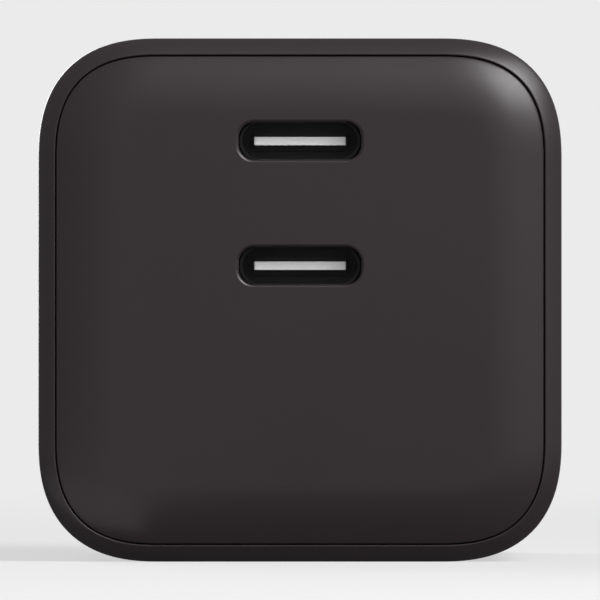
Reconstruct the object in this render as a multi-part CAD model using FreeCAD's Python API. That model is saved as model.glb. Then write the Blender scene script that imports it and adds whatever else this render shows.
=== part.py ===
"""A dual-port wall charger with a folding two-blade plug.

Frame, in millimetres: the origin is the centre of the wall face at the back, +Y points into the wall,
+Z is up, and the ports look along -Y. The plug is modelled folded into the back.
"""

import FreeCAD, Part
import math
import os

V = FreeCAD.Vector

# Body: a square section, each corner a tight arc between two easing arcs
body_side = 38.0
body_depth = 46.0
corner_length = 8.34
easing_radius = 12.1
easing_angle = 15.25
wall = 2.2
back_wall = 2.2
back_edge_radius = 1.6

# Front panel: flat in the middle, rolling away towards a fine groove inside the rim
rim_width = 1.255
rim_edge_angle = 42.0
rim_edge_radius = 0.3
groove_width = 0.07
pillow_width = 4.2
pillow_angle = 26.0
least_corner = 0.3
panel_thickness = 2.4
skirt_height = 2.6
skirt_thickness = 1.1
fit_clearance = 0.08

# Port openings in the panel
port_top_inset = 7.46
port_pitch = 9.05
opening_width = 8.9
opening_height = 2.7
opening_chamfer = 0.26
opening_lip = 0.95

# USB-C receptacles
shell_width = 8.94
shell_height = 3.16
shell_thickness = 0.3
shell_length = 7.9
shell_gap = 0.05
shell_tab_width = 0.9
shell_tab_inset = 1.9
insulator_length = 2.6
tongue_width = 6.69
tongue_thickness = 0.62
tongue_corner = 0.12
tongue_recess = 1.4
tongue_root_thickness = 1.3
tongue_root_length = 0.9
contact_count = 12
contact_pitch = 0.5
contact_width = 0.26
contact_thickness = 0.05
contact_tip_inset = 0.35

# Folding plug: two flat blades on one carrier
blade_width = 6.35
blade_thickness = 1.5
blade_spacing = 12.7
blade_reach = 17.0
blade_tip_radius = 1.6
blade_tip_bevel = 0.4
blade_neck_width = 3.6
blade_shoulder = 1.9
blade_flush = 0.2
blade_clearance = 0.2
tail_width = 1.9
tail_reach = 6.0
carrier_side = 1.5
carrier_relief = 0.15
trunnion_radius = 1.1
trunnion_length = 1.4
trunnion_clearance = 0.06
scoop_radius = 8.0
scoop_depth = 1.1
scoop_above_tip = 1.9

# Plug frame behind the back wall, and the contact springs on it
frame_floor = 1.2
frame_border = 0.9
stake_radius = 0.75
stake_inset = 1.7
stake_head_radius = 1.3
stake_head_height = 0.6
spring_width = 3.0
spring_thickness = 0.35
spring_gap = 0.05
spring_foot = 2.8
spring_flare = 0.6

# Boards
main_board_thickness = 1.6
port_board_thickness = 1.2
under_board_space = 2.9
board_clearance = 0.3
main_board_side_gap = 1.4
main_board_rear_gap = 1.6
rib_width = 1.2
rib_offset = 12.5
tab_width = 4.0
tab_offset = 9.5
tab_proud = 0.5

# Heat path
spreader_thickness = 0.5
sheet_thickness = 0.25
spreader_gap = 0.1
spreader_skirt_gap = 1.3
heat_plate_width = 17.0
heat_plate_thickness = 0.5
heat_plate_end_gap = 1.5
thermal_pad_side = 9.0

# Mains input components: width, depth and height, or diameter and thickness
component_gap = 0.4
chip_corner = 0.3
case_corner = 0.6
fuse_size = (8.0, 4.0, 7.6)
varistor_diameter = 6.4
varistor_thickness = 3.6
thermistor_diameter = 6.0
thermistor_thickness = 3.2
x_capacitor_depth = 5.4
x_capacitor_height = 10.0
choke_outer_radius = 5.0
choke_inner_radius = 2.6
choke_thickness = 3.8
choke_winding = 0.5
choke_winding_span = 120.0
choke_lift = 0.7
choke_base_height = 1.5
bridge_size = (7.0, 5.6, 1.5)
bulk_height = 22.0
can_edge = 0.6
can_crimp_height = 2.2
can_crimp_depth = 0.45

# Power stage components
core_height = 14.0
core_plate = 2.4
core_leg = 1.9
core_gap = 0.1
winding_thickness = 2.4
bobbin_wall = 0.7
bobbin_flange = 0.6
bobbin_clearance = 0.12
rail_depth = 1.4
rail_width = 11.0
gan_size = (8.0, 6.0, 0.85)
controller_size = (5.0, 4.0, 1.3)
mosfet_size = (6.0, 5.0, 1.0)
optocoupler_size = (4.4, 3.6, 2.0)
y_capacitor_size = (5.6, 5.0, 2.0)

# Output components
output_capacitor_diameter = 6.3
output_capacitor_length = 9.0
inductor_side = 7.5
inductor_height = 4.2
inductor_corner = 1.2
inductor_offset = 7.0
protocol_side = 5.0
protocol_height = 0.9

# Outline of the body, worked out from its driving sizes
half = body_side / 2
flat = half - corner_length
lean = math.radians(easing_angle)
corner_radius = easing_radius - (easing_radius - corner_length) / (math.cos(lean) - math.sin(lean))
tight_centre = flat + (easing_radius - corner_radius) * math.sin(lean)
cavity_half = half - wall

# Front panel and rim
front_y = -body_depth
ledge_y = front_y + panel_thickness
panel_inset = rim_width + groove_width
panel_lean = math.radians(pillow_angle)
roll_width = min(pillow_width, corner_radius - panel_inset - least_corner)
roll_radius = roll_width / math.sin(panel_lean)
roll_drop = roll_radius * (1 - math.cos(panel_lean))
rim_edge_lean = math.radians(rim_edge_angle)
rim_start = rim_edge_radius * (1 - math.sin(rim_edge_lean))
rim_radius = (panel_inset - rim_start) / (math.sin(rim_edge_lean) - math.sin(panel_lean))
rim_start_y = front_y + roll_drop + rim_radius * (math.cos(panel_lean) - math.cos(rim_edge_lean))
side_front_y = rim_start_y + rim_edge_radius * math.cos(rim_edge_lean)
inner_back_y = -back_wall

# Ports and boards
port_upper_z = half - port_top_inset
port_heights = {"upper": port_upper_z, "lower": port_upper_z - port_pitch}
shell_front_y = front_y + opening_lip + shell_gap
shell_back_y = shell_front_y + shell_length
insulator_front_y = shell_back_y - insulator_length
tongue_tip_y = shell_front_y + tongue_recess
tongue_root_y = insulator_front_y - tongue_root_length
port_board_back_y = shell_back_y + port_board_thickness
board_underside_z = -cavity_half + under_board_space
board_top_z = board_underside_z + main_board_thickness
board_half = cavity_half - main_board_side_gap

# Plug: centred on the back wall, its axis as deep as the blades, their tails and the trunnions need
hinge_y = -max(blade_width / 2 + blade_flush,
               back_wall + tail_width / 2 + blade_clearance,
               back_wall + trunnion_radius + trunnion_clearance)
blade_length = blade_reach - hinge_y
hinge_z = (blade_length - tail_reach) / 2
blade_tip_z = hinge_z - blade_length
carrier_radius = blade_width / 2
carrier_half = (blade_spacing + blade_thickness) / 2 + carrier_side
pocket_radius = carrier_radius + carrier_relief
pocket_half = carrier_half + carrier_relief
bearing_half = pocket_half + trunnion_length
well_floor_y = hinge_y - blade_width / 2 - blade_clearance
frame_front_y = well_floor_y - frame_floor
frame_half = bearing_half + frame_border
frame_top_z = hinge_z + tail_reach + blade_clearance + frame_border
frame_bottom_z = blade_tip_z - blade_clearance - frame_border
board_rear_y = frame_front_y - main_board_rear_gap
blade_sides = {"left": -blade_spacing / 2, "right": blade_spacing / 2}

# Bays on the main board: input row at the rear, two bulk cans on the left, filter and transformer beside them
bay_front_y = port_board_back_y + component_gap
bay_rear_y = board_rear_y - component_gap
bay_half = board_half - component_gap
input_depth = max(fuse_size[1], varistor_thickness, thermistor_thickness, spring_foot - component_gap)
bulk_rear_edge_y = bay_rear_y - input_depth - component_gap
bulk_diameter = (bulk_rear_edge_y - bay_front_y - component_gap) / 2
bulk_x = -bay_half + bulk_diameter / 2
bulk_places = {"front": bay_front_y + bulk_diameter / 2, "rear": bulk_rear_edge_y - bulk_diameter / 2}
power_left_x = bulk_x + bulk_diameter / 2 + component_gap
choke_radius = choke_outer_radius + choke_winding
choke_depth = choke_thickness + 2 * choke_winding
choke_x = power_left_x + choke_radius
x_capacitor_left_x = choke_x + choke_radius + component_gap
filter_depth = max(choke_depth, x_capacitor_depth)
filter_y = bulk_rear_edge_y - filter_depth / 2
core_width = bay_half - power_left_x
transformer_x = (bay_half + power_left_x) / 2
transformer_rear_y = filter_y - filter_depth / 2 - component_gap
transformer_depth = transformer_rear_y - bay_front_y
transformer_y = (transformer_rear_y + bay_front_y) / 2
core_window_radius = core_width / 2 - core_leg
flange_radius = min(core_window_radius, transformer_depth / 2) - bobbin_clearance
winding_radius = flange_radius - bobbin_clearance
sleeve_radius = winding_radius - winding_thickness
bobbin_bore = sleeve_radius - bobbin_wall
core_post_radius = bobbin_bore - bobbin_clearance
core_depth = 2 * (flange_radius - rail_depth)
bobbin_low_z = board_top_z + core_plate + bobbin_clearance
bobbin_high_z = board_top_z + core_height - core_plate - bobbin_clearance

# Places under the main board and on the port board
bridge_y = bay_rear_y - bridge_size[1] / 2
pad_x = heat_plate_width / 2 - thermal_pad_side / 2
pad_y = bridge_y - bridge_size[1] / 2 - component_gap - thermal_pad_side / 2
plate_top_z = -cavity_half + heat_plate_thickness
liner_inset = wall + spreader_gap
output_capacitor_z = half - liner_inset - spreader_thickness - sheet_thickness - component_gap \
    - output_capacitor_diameter / 2
inductor_z = (board_top_z + port_heights["lower"] - shell_height / 2) / 2


def corner_arcs():
    """Centre, radius, start and end of each arc of the top right corner; angles run from +Z towards +X."""
    side_centre = half - easing_radius
    right_angle = math.pi / 2
    return [(flat, side_centre, easing_radius, 0.0, lean),
            (tight_centre, tight_centre, corner_radius, lean, right_angle - lean),
            (side_centre, flat, easing_radius, right_angle - lean, right_angle)]


def quarter_turns(shape):
    """The shape and its copies on the other three sides of the body."""
    copies = []
    for turn in range(4):
        copy = shape.copy()
        copy.rotate(V(0, 0, 0), V(0, 1, 0), 90 * turn)
        copies.append(copy)
    return copies


def outline(inset, y):
    """Wire parallel to the body's outline, at an inset from it and at depth y."""
    top = half - inset
    run = [Part.LineSegment(V(-flat, y, top), V(flat, y, top)).toShape()]
    for x, z, radius, start, end in corner_arcs():
        angles = (start, (start + end) / 2, end)
        reach = radius - inset
        points = [V(x + reach * math.sin(a), y, z + reach * math.cos(a)) for a in angles]
        run.append(Part.Arc(*points).toShape())
    edges = [copy for edge in run for copy in quarter_turns(edge)]
    return Part.Wire(Part.__sortEdges__(edges))


def prism(inset, y_from, y_to):
    """Solid of the body's section, less an inset, between two depths."""
    return Part.Face(outline(inset, y_from)).extrude(V(0, y_to - y_from, 0))


def carried_round(profile):
    """Solid ring made by carrying a face, drawn across the middle of the top side, round the outline."""
    face = profile.copy()
    face.translate(V(-flat, 0, 0))
    run = [face.extrude(V(2 * flat, 0, 0))]
    face.translate(V(2 * flat, 0, 0))
    for x, z, _, start, end in corner_arcs():
        turn = math.degrees(end - start)
        run.append(face.revolve(V(x, 0, z), V(0, 1, 0), turn))
        face.rotate(V(x, 0, z), V(0, 1, 0), turn)
    return fused(*[copy for piece in run for copy in quarter_turns(piece)])


def box(x_from, x_to, y_from, y_to, z_from, z_to):
    return Part.makeBox(x_to - x_from, y_to - y_from, z_to - z_from, V(x_from, y_from, z_from))


def eased_box(size, x, y, z_from, corner):
    """Moulded block centred in x and y, standing on z_from, with its upright edges cut back."""
    width, depth, height = size
    body = box(x - width / 2, x + width / 2, y - depth / 2, y + depth / 2, z_from, z_from + height)
    return body.makeChamfer(corner, upright_edges(body))


def upright_edges(shape):
    """Straight edges that run along Z."""
    return [e for e in shape.Edges if e.BoundBox.ZLength > 0.99 * e.Length]


def edges_at(shape, y):
    """Edges that lie wholly at one depth."""
    near = 1e-4
    return [e for e in shape.Edges if abs(e.BoundBox.YMin - y) < near and abs(e.BoundBox.YMax - y) < near]


def rod(radius, start, end):
    """Round bar between two points."""
    axis = end - start
    return Part.makeCylinder(radius, axis.Length, start, axis)


def tube(outer_radius, inner_radius, start, end):
    return rod(outer_radius, start, end).cut(rod(inner_radius, start, end))


def cross_rod(radius, half_length):
    """Round bar on the plug's axis."""
    return rod(radius, V(-half_length, hinge_y, hinge_z), V(half_length, hinge_y, hinge_z))


def turned(profile):
    """Solid of revolution about Z from corners given as (radius, z)."""
    corners = [V(radius, 0, z) for radius, z in profile + profile[:1]]
    return Part.Face(Part.makePolygon(corners)).revolve(V(0, 0, 0), V(0, 0, 1), 360)


def slot_wire(width, height, y, z):
    """Slot with round ends, at depth y and centred at height z."""
    radius = height / 2
    straight = width / 2 - radius
    top = Part.LineSegment(V(-straight, y, z + radius), V(straight, y, z + radius))
    right = Part.Arc(V(straight, y, z + radius), V(width / 2, y, z), V(straight, y, z - radius))
    bottom = Part.LineSegment(V(straight, y, z - radius), V(-straight, y, z - radius))
    left = Part.Arc(V(-straight, y, z - radius), V(-width / 2, y, z), V(-straight, y, z + radius))
    return Part.Wire([piece.toShape() for piece in (top, right, bottom, left)])


def slot_prism(width, height, z, y_from, y_to):
    return Part.Face(slot_wire(width, height, y_from, z)).extrude(V(0, y_to - y_from, 0))


def strip(line, thickness, x, width):
    """Bent sheet strip: a line of (y, z) points given a thickness to its left, and a width along x."""
    def normal(start, end):
        dy, dz = end[0] - start[0], end[1] - start[1]
        length = math.hypot(dy, dz)
        return -dz / length, dy / length

    normals = [normal(start, end) for start, end in zip(line, line[1:])]
    offset = []
    for index, (y, z) in enumerate(line):
        before = normals[max(index - 1, 0)]
        after = normals[min(index, len(normals) - 1)]
        ny, nz = before[0] + after[0], before[1] + after[1]
        stretch = 2 * thickness / (ny * ny + nz * nz)
        offset.append((y + ny * stretch, z + nz * stretch))
    loop = line + offset[::-1]
    corners = [V(x - width / 2, y, z) for y, z in loop + loop[:1]]
    return Part.Face(Part.makePolygon(corners)).extrude(V(width, 0, 0))


def fused(first, *others):
    return first.multiFuse(list(others)).removeSplitter()


# Casing

def scoop():
    """Shallow dish over the blade tips that lets a fingertip lift them."""
    centre_y = scoop_radius - scoop_depth
    centre_z = blade_tip_z + scoop_above_tip
    ends = [V(x, centre_y, centre_z) for x in blade_sides.values()]
    balls = [Part.makeSphere(scoop_radius, end) for end in ends]
    return fused(rod(scoop_radius, *ends), *balls)


def blade_slots(y_from, y_to):
    """Slots that the folded blades lie in, cut from y_from to y_to."""
    side = blade_thickness / 2 + blade_clearance
    low = blade_tip_z - blade_clearance
    return [box(x - side, x + side, y_from, y_to, low, hinge_z) for x in blade_sides.values()]


def stake_places():
    x = frame_half - stake_inset
    heights = (frame_top_z - stake_inset, frame_bottom_z + stake_inset)
    return [(side * x, z) for side in (-1, 1) for z in heights]


def stakes():
    """Moulded posts that pass through the plug frame and are melted over it."""
    posts = []
    for x, z in stake_places():
        root = V(x, inner_back_y, z)
        head = V(x, frame_front_y, z)
        posts.append(rod(stake_radius, root, head))
        posts.append(rod(stake_head_radius, head, head - V(0, stake_head_height, 0)))
    return posts


def board_ribs():
    """Two rails on the floor of the casing that the main board rests on."""
    return [box(side * rib_offset - rib_width / 2, side * rib_offset + rib_width / 2,
                port_board_back_y + board_clearance, inner_back_y, -cavity_half - wall / 2, board_underside_z)
            for side in (-1, 1)]


def rim():
    """Ring round the front: a small edge round, then a gentle curve that carries on across the groove."""
    def on_edge(lean_here):
        drop = rim_edge_radius * math.cos(lean_here)
        return V(0, side_front_y - drop, half - rim_edge_radius * (1 - math.sin(lean_here)))

    def on_curve(inset):
        lean_here = math.asin(math.sin(rim_edge_lean) - (inset - rim_start) / rim_radius)
        rise = rim_radius * (math.cos(lean_here) - math.cos(rim_edge_lean))
        return V(0, rim_start_y - rise, half - inset)

    side = on_edge(math.pi / 2)
    start = on_curve(rim_start)
    crest = on_curve(rim_width)
    foot = V(0, side_front_y, half - rim_width)
    edge = Part.Arc(side, on_edge((math.pi / 2 + rim_edge_lean) / 2), start)
    curve = Part.Arc(start, on_curve((rim_start + rim_width) / 2), crest)
    lines = [Part.LineSegment(crest, foot), Part.LineSegment(foot, side)]
    return carried_round(Part.Face(Part.Wire([piece.toShape() for piece in (edge, curve, *lines)])))


def housing():
    shell = fused(prism(0, side_front_y, 0), rim())
    shell = shell.makeFillet(back_edge_radius, edges_at(shell, 0))
    rabbet = prism(rim_width, front_y, ledge_y)
    cavity = prism(wall, front_y, inner_back_y)
    window = box(-pocket_half, pocket_half, inner_back_y, 0, hinge_z - pocket_radius, hinge_z + pocket_radius)
    shell = shell.cut([rabbet, cavity, window, scoop(), *blade_slots(inner_back_y, 0)])
    return fused(shell, *board_ribs(), *stakes())


def port_opening(z):
    """Cutter for one port: chamfered mouth, lip and the pocket that the receptacle's shell sits in."""
    reach = 2 * opening_chamfer
    growth = 2 * (opening_chamfer + reach)
    mouth = Part.makeLoft([
        slot_wire(opening_width + growth, opening_height + growth, front_y - reach, z),
        slot_wire(opening_width, opening_height, front_y + opening_chamfer, z)], True, True)
    throat = slot_prism(opening_width, opening_height, z, front_y, ledge_y)
    pocket = slot_prism(shell_width + 2 * fit_clearance, shell_height + 2 * fit_clearance, z,
                        front_y + opening_lip, ledge_y)
    return mouth.multiFuse([throat, pocket])


def panel_roll():
    """Ring of the panel whose front rolls away towards the groove."""
    inner_inset = panel_inset + roll_width
    middle = panel_lean / 2
    middle_inset = inner_inset - roll_radius * math.sin(middle)
    middle_y = front_y + roll_radius * (1 - math.cos(middle))
    outer = V(0, front_y + roll_drop, half - panel_inset)
    inner = V(0, front_y, half - inner_inset)
    outer_foot = V(0, ledge_y, half - panel_inset)
    inner_foot = V(0, ledge_y, half - inner_inset)
    roll = Part.Arc(inner, V(0, middle_y, half - middle_inset), outer)
    lines = [Part.LineSegment(outer, outer_foot), Part.LineSegment(outer_foot, inner_foot),
             Part.LineSegment(inner_foot, inner)]
    return carried_round(Part.Face(Part.Wire([piece.toShape() for piece in (roll, *lines)])))


def front_cover():
    panel = prism(panel_inset + roll_width, front_y, ledge_y)
    skirt_inset = wall + fit_clearance
    skirt = prism(skirt_inset, ledge_y, ledge_y + skirt_height)
    skirt = skirt.cut(prism(skirt_inset + skirt_thickness, ledge_y, ledge_y + skirt_height))
    cover = fused(panel, panel_roll(), skirt)
    return cover.cut([port_opening(z) for z in port_heights.values()])


# USB-C receptacles

def shell_tabs(z, grow=0.0):
    """Four solder tabs that pass through the port board."""
    x = shell_width / 2 - shell_tab_inset
    height = shell_height / 2 - shell_thickness / 2
    return [box(side * x - shell_tab_width / 2 - grow, side * x + shell_tab_width / 2 + grow,
                shell_back_y, port_board_back_y,
                z + end * height - shell_thickness / 2 - grow,
                z + end * height + shell_thickness / 2 + grow)
            for side in (-1, 1) for end in (-1, 1)]


def port_shell(z):
    inner_width = shell_width - 2 * shell_thickness
    inner_height = shell_height - 2 * shell_thickness
    sleeve = slot_prism(shell_width, shell_height, z, shell_front_y, shell_back_y)
    sleeve = sleeve.cut(slot_prism(inner_width, inner_height, z, shell_front_y, shell_back_y))
    return fused(sleeve, *shell_tabs(z))


def tongue_box(thickness, y_from, y_to, z):
    return box(-tongue_width / 2, tongue_width / 2, y_from, y_to, z - thickness / 2, z + thickness / 2)


def port_insulator(z):
    """Moulded block that closes the back of the shell and carries the tongue."""
    block = slot_prism(shell_width - 2 * shell_thickness, shell_height - 2 * shell_thickness, z,
                       insulator_front_y, shell_back_y)
    root = tongue_box(tongue_root_thickness, tongue_root_y, insulator_front_y, z)
    tongue = tongue_box(tongue_thickness, tongue_tip_y, insulator_front_y, z)
    corners = [e for e in upright_edges(tongue) if e.BoundBox.YMax < tongue_root_y]
    tongue = tongue.makeFillet(tongue_corner, corners)
    return fused(block, root, tongue).cut(port_contacts(z))


def port_contacts(z):
    """Gold strips let into both faces of the tongue."""
    strips = []
    for side in (-1, 1):
        face_z = z + side * tongue_thickness / 2
        inner_z = face_z - side * contact_thickness
        for index in range(contact_count):
            x = (index - (contact_count - 1) / 2) * contact_pitch
            strips.append(box(x - contact_width / 2, x + contact_width / 2,
                              tongue_tip_y + contact_tip_inset, tongue_root_y,
                              min(face_z, inner_z), max(face_z, inner_z)))
    return Part.makeCompound(strips)


# Folding plug

def blade(x):
    """Flat blade hanging from the hinge, with a neck held in the carrier and a tail for the contact."""
    wide = blade_width / 2
    neck = blade_neck_width / 2
    tail = tail_width / 2
    right = [(wide, blade_tip_z + blade_tip_radius), (wide, hinge_z - blade_shoulder),
             (neck, hinge_z - blade_shoulder), (neck, hinge_z + blade_shoulder),
             (tail, hinge_z + blade_shoulder), (tail, hinge_z + tail_reach - tail)]
    left = [(-offset, z) for offset, z in right]

    def point(offset, z):
        return V(x - blade_thickness / 2, hinge_y + offset, z)

    def line(start, end):
        return Part.LineSegment(point(*start), point(*end)).toShape()

    def tip_corner(side):
        sag = blade_tip_radius * (1 - math.sqrt(0.5))
        return Part.Arc(point(side * (wide - blade_tip_radius), blade_tip_z),
                        point(side * (wide - sag), blade_tip_z + sag),
                        point(side * wide, blade_tip_z + blade_tip_radius)).toShape()

    edges = [line(start, end) for run in (right, left) for start, end in zip(run, run[1:])]
    edges.append(Part.Arc(point(*right[-1]), point(0, hinge_z + tail_reach), point(*left[-1])).toShape())
    edges.append(line((wide - blade_tip_radius, blade_tip_z), (blade_tip_radius - wide, blade_tip_z)))
    edges += [tip_corner(1), tip_corner(-1)]
    solid = Part.Face(Part.Wire(Part.__sortEdges__(edges))).extrude(V(blade_thickness, 0, 0))
    near = 1e-3
    tip_edges = [e for e in solid.Edges
                 if e.BoundBox.XLength < near and e.BoundBox.ZMax < blade_tip_z + blade_tip_radius + near]
    return solid.makeChamfer(blade_tip_bevel, tip_edges)


def blade_carrier():
    """Barrel moulded round the necks of both blades, squared off where it shows, turning on two trunnions."""
    square = box(-carrier_half, carrier_half, hinge_y, hinge_y + carrier_radius,
                 hinge_z - carrier_radius, hinge_z)
    body = fused(cross_rod(carrier_radius, carrier_half), square,
                 cross_rod(trunnion_radius, carrier_half + trunnion_length))
    return body.cut([blade(x) for x in blade_sides.values()])


def plug_frame():
    """Moulded block staked to the back wall: bearings for the carrier and a closed well for each blade."""
    block = box(-frame_half, frame_half, frame_front_y, inner_back_y, frame_bottom_z, frame_top_z)
    cuts = blade_slots(well_floor_y, inner_back_y)
    bearing_radius = trunnion_radius + trunnion_clearance
    for radius, reach in ((pocket_radius, pocket_half), (bearing_radius, bearing_half)):
        cuts.append(cross_rod(radius, reach))
        cuts.append(box(-reach, reach, hinge_y, inner_back_y, hinge_z - radius, hinge_z + radius))
    slot_half = blade_thickness / 2 + blade_clearance
    for x in blade_sides.values():
        cuts.append(box(x - slot_half, x + slot_half, frame_front_y, inner_back_y,
                        hinge_z - tail_width / 2 - blade_clearance, hinge_z + tail_reach + blade_clearance))
    for x, z in stake_places():
        cuts.append(rod(stake_radius + fit_clearance, V(x, frame_front_y, z), V(x, inner_back_y, z)))
    return block.cut(cuts)


def contact_spring(x):
    """Leaf that the blade's tail meets when the plug is out, with a foot soldered to the main board."""
    contact_y = hinge_y - tail_reach - spring_gap
    contact_low_z = hinge_z - tail_width / 2
    contact_high_z = hinge_z + tail_width / 2
    line = [(board_rear_y - spring_foot, board_top_z), (frame_front_y, board_top_z),
            (frame_front_y, hinge_z - tail_reach), (contact_y, contact_low_z),
            (contact_y, contact_high_z), (contact_y - spring_flare, contact_high_z + tail_width / 2)]
    return strip(line, spring_thickness, x, spring_width)


# Boards

def board_tabs(grow=0.0):
    """Tongues on the main board's front edge that pass through the port board and are soldered there."""
    return [box(side * tab_offset - tab_width / 2 - grow, side * tab_offset + tab_width / 2 + grow,
                shell_back_y - tab_proud, port_board_back_y,
                board_underside_z - grow, board_top_z + grow) for side in (-1, 1)]


def main_board():
    board = box(-board_half, board_half, port_board_back_y, board_rear_y, board_underside_z, board_top_z)
    return fused(board, *board_tabs())


def port_board():
    board = prism(wall + board_clearance, shell_back_y, port_board_back_y)
    holes = board_tabs(fit_clearance)
    for z in port_heights.values():
        holes += shell_tabs(z, fit_clearance)
    return board.cut(holes)


# Heat path

def liner(inset, thickness):
    """Sheet folded round the top and both sides of the cavity, its outer face at an inset from the body."""
    y_from = port_board_back_y + board_clearance
    ring = prism(inset, y_from, board_rear_y).cut(prism(inset + thickness, y_from, board_rear_y))
    return ring.cut(box(-half, half, y_from, board_rear_y, -half, board_top_z + spreader_skirt_gap))


def heat_spreader():
    return liner(liner_inset, spreader_thickness)


def insulation_sheet():
    return liner(liner_inset + spreader_thickness, sheet_thickness)


def lower_heat_plate():
    return box(-heat_plate_width / 2, heat_plate_width / 2,
               port_board_back_y + heat_plate_end_gap, board_rear_y - heat_plate_end_gap,
               -cavity_half, plate_top_z)


def thermal_pad():
    """Soft pad between the switch and the lower heat plate."""
    height = board_underside_z - gan_size[2] - plate_top_z
    return eased_box((thermal_pad_side, thermal_pad_side, height), pad_x, pad_y, plate_top_z, chip_corner)


def under_part(size, x, y):
    """Component soldered to the underside of the main board."""
    return eased_box(size, x, y, board_underside_z - size[2], chip_corner)


def front_row(size):
    """Depth of a component in the front row under the main board."""
    return bay_front_y + size[1] / 2


def beside_y_capacitor(size):
    """Distance from the middle of the board to a component next to the Y capacitor."""
    return y_capacitor_size[0] / 2 + component_gap + size[0] / 2


# Mains input

def fuse():
    return eased_box(fuse_size, 0, bay_rear_y - fuse_size[1] / 2, board_top_z, case_corner)


def disc(diameter, thickness, side):
    """Lacquered disc standing on its edge at the rear of the board, against one side."""
    radius = diameter / 2
    edge = thickness / 4
    body = turned([(0, 0), (radius - edge, 0), (radius, edge), (radius, thickness - edge),
                   (radius - edge, thickness), (0, thickness)])
    body.rotate(V(0, 0, 0), V(1, 0, 0), 90)
    body.translate(V(side * (bay_half - radius), bay_rear_y, board_top_z + radius))
    return body


def surge_varistor():
    return disc(varistor_diameter, varistor_thickness, -1)


def inrush_thermistor():
    return disc(thermistor_diameter, thermistor_thickness, 1)


def x_capacitor():
    width = bay_half - x_capacitor_left_x
    return eased_box((width, x_capacitor_depth, x_capacitor_height), x_capacitor_left_x + width / 2, filter_y,
                     board_top_z, case_corner)


def choke_axis(offset):
    """Point on the axis of the choke's ring, at an offset along it."""
    return V(choke_x, filter_y + offset, board_top_z + choke_lift + choke_outer_radius)


def choke_core():
    reach = choke_thickness / 2
    return tube(choke_outer_radius, choke_inner_radius, choke_axis(-reach), choke_axis(reach))


def choke_windings():
    """Two coils of the same span, one on each side of the ring."""
    reach = choke_depth / 2
    coil = tube(choke_radius, choke_inner_radius - choke_winding, choke_axis(-reach), choke_axis(reach))
    coil = coil.cut(choke_core())
    centre = choke_axis(-reach)
    width = 2 * choke_radius
    rise = width * math.tan(math.radians(choke_winding_span / 2))
    coils = []
    for side in (-1, 1):
        corners = [centre, centre + V(side * width, 0, rise), centre + V(side * width, 0, -rise), centre]
        wedge = Part.Face(Part.makePolygon(corners)).extrude(V(0, choke_depth, 0))
        coils += coil.common(wedge).Solids
    return Part.makeCompound(coils)


def choke_base():
    """Cradle under the ring, between the two coils."""
    width = 2 * (choke_outer_radius * math.cos(math.radians(choke_winding_span / 2)) - component_gap)
    size = (width, choke_thickness, choke_base_height)
    cradle = eased_box(size, choke_x, filter_y, board_top_z, chip_corner)
    return cradle.cut(rod(choke_outer_radius, choke_axis(-choke_depth), choke_axis(choke_depth)))


def can(diameter, length):
    """Aluminium can standing at the origin: rolled crimp near its foot, eased top edge."""
    radius = diameter / 2
    low, high = can_crimp_height - can_crimp_depth, can_crimp_height + can_crimp_depth
    return turned([(0, 0), (radius, 0), (radius, low), (radius - can_crimp_depth, can_crimp_height),
                   (radius, high), (radius, length - can_edge), (radius - can_edge, length), (0, length)])


def bulk_capacitor(y):
    body = can(bulk_diameter, bulk_height)
    body.translate(V(bulk_x, y, board_top_z))
    return body


def bridge_rectifier():
    return under_part(bridge_size, 0, bridge_y)


# Power stage

def transformer_axis(z):
    return V(transformer_x, transformer_y, z)


def core_half(z_from, z_to, window_from, window_to):
    """One ferrite half: plate, two outer legs hollowed round the winding, and the middle post."""
    body = box(transformer_x - core_width / 2, transformer_x + core_width / 2,
               transformer_y - core_depth / 2, transformer_y + core_depth / 2, z_from, z_to)
    return body.cut(tube(core_window_radius, core_post_radius,
                         transformer_axis(window_from), transformer_axis(window_to)))


def transformer_core_lower():
    top = board_top_z + (core_height - core_gap) / 2
    return core_half(board_top_z, top, board_top_z + core_plate, top)


def transformer_core_upper():
    top = board_top_z + core_height
    low = top - (core_height - core_gap) / 2
    return core_half(low, top, low, top - core_plate)


def transformer_bobbin():
    """Former round the middle post, with two rails that stand on the board."""
    sleeve = rod(sleeve_radius, transformer_axis(bobbin_low_z), transformer_axis(bobbin_high_z))
    flanges = [rod(flange_radius, transformer_axis(z), transformer_axis(z + bobbin_flange))
               for z in (bobbin_low_z, bobbin_high_z - bobbin_flange)]
    rails = []
    for side in (-1, 1):
        inner = transformer_y + side * (core_depth / 2 + bobbin_clearance)
        outer = inner + side * rail_depth
        rails.append(box(transformer_x - rail_width / 2, transformer_x + rail_width / 2,
                         min(inner, outer), max(inner, outer), board_top_z, bobbin_low_z + bobbin_flange))
    bore = rod(bobbin_bore, transformer_axis(bobbin_low_z), transformer_axis(bobbin_high_z))
    return fused(sleeve, *flanges, *rails).cut(bore)


def transformer_winding():
    return tube(winding_radius, sleeve_radius, transformer_axis(bobbin_low_z + bobbin_flange),
                transformer_axis(bobbin_high_z - bobbin_flange))


def gan_switch():
    return under_part(gan_size, pad_x, pad_y)


def primary_controller():
    x = pad_x - thermal_pad_side / 2 - component_gap - controller_size[0] / 2
    return under_part(controller_size, x, pad_y)


def y_capacitor():
    return under_part(y_capacitor_size, 0, front_row(y_capacitor_size))


def optocoupler():
    return under_part(optocoupler_size, -beside_y_capacitor(optocoupler_size), front_row(optocoupler_size))


def rectifier_mosfet():
    return under_part(mosfet_size, beside_y_capacitor(mosfet_size), front_row(mosfet_size))


# Output

def output_capacitor(place):
    """Polymer capacitor lying with its foot on the back of the port board, counted from the bulk cans."""
    body = can(output_capacitor_diameter, output_capacitor_length)
    body.rotate(V(0, 0, 0), V(1, 0, 0), -90)
    x = power_left_x + output_capacitor_diameter / 2 + place * (output_capacitor_diameter + component_gap)
    body.translate(V(x, port_board_back_y, output_capacitor_z))
    return body


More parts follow.
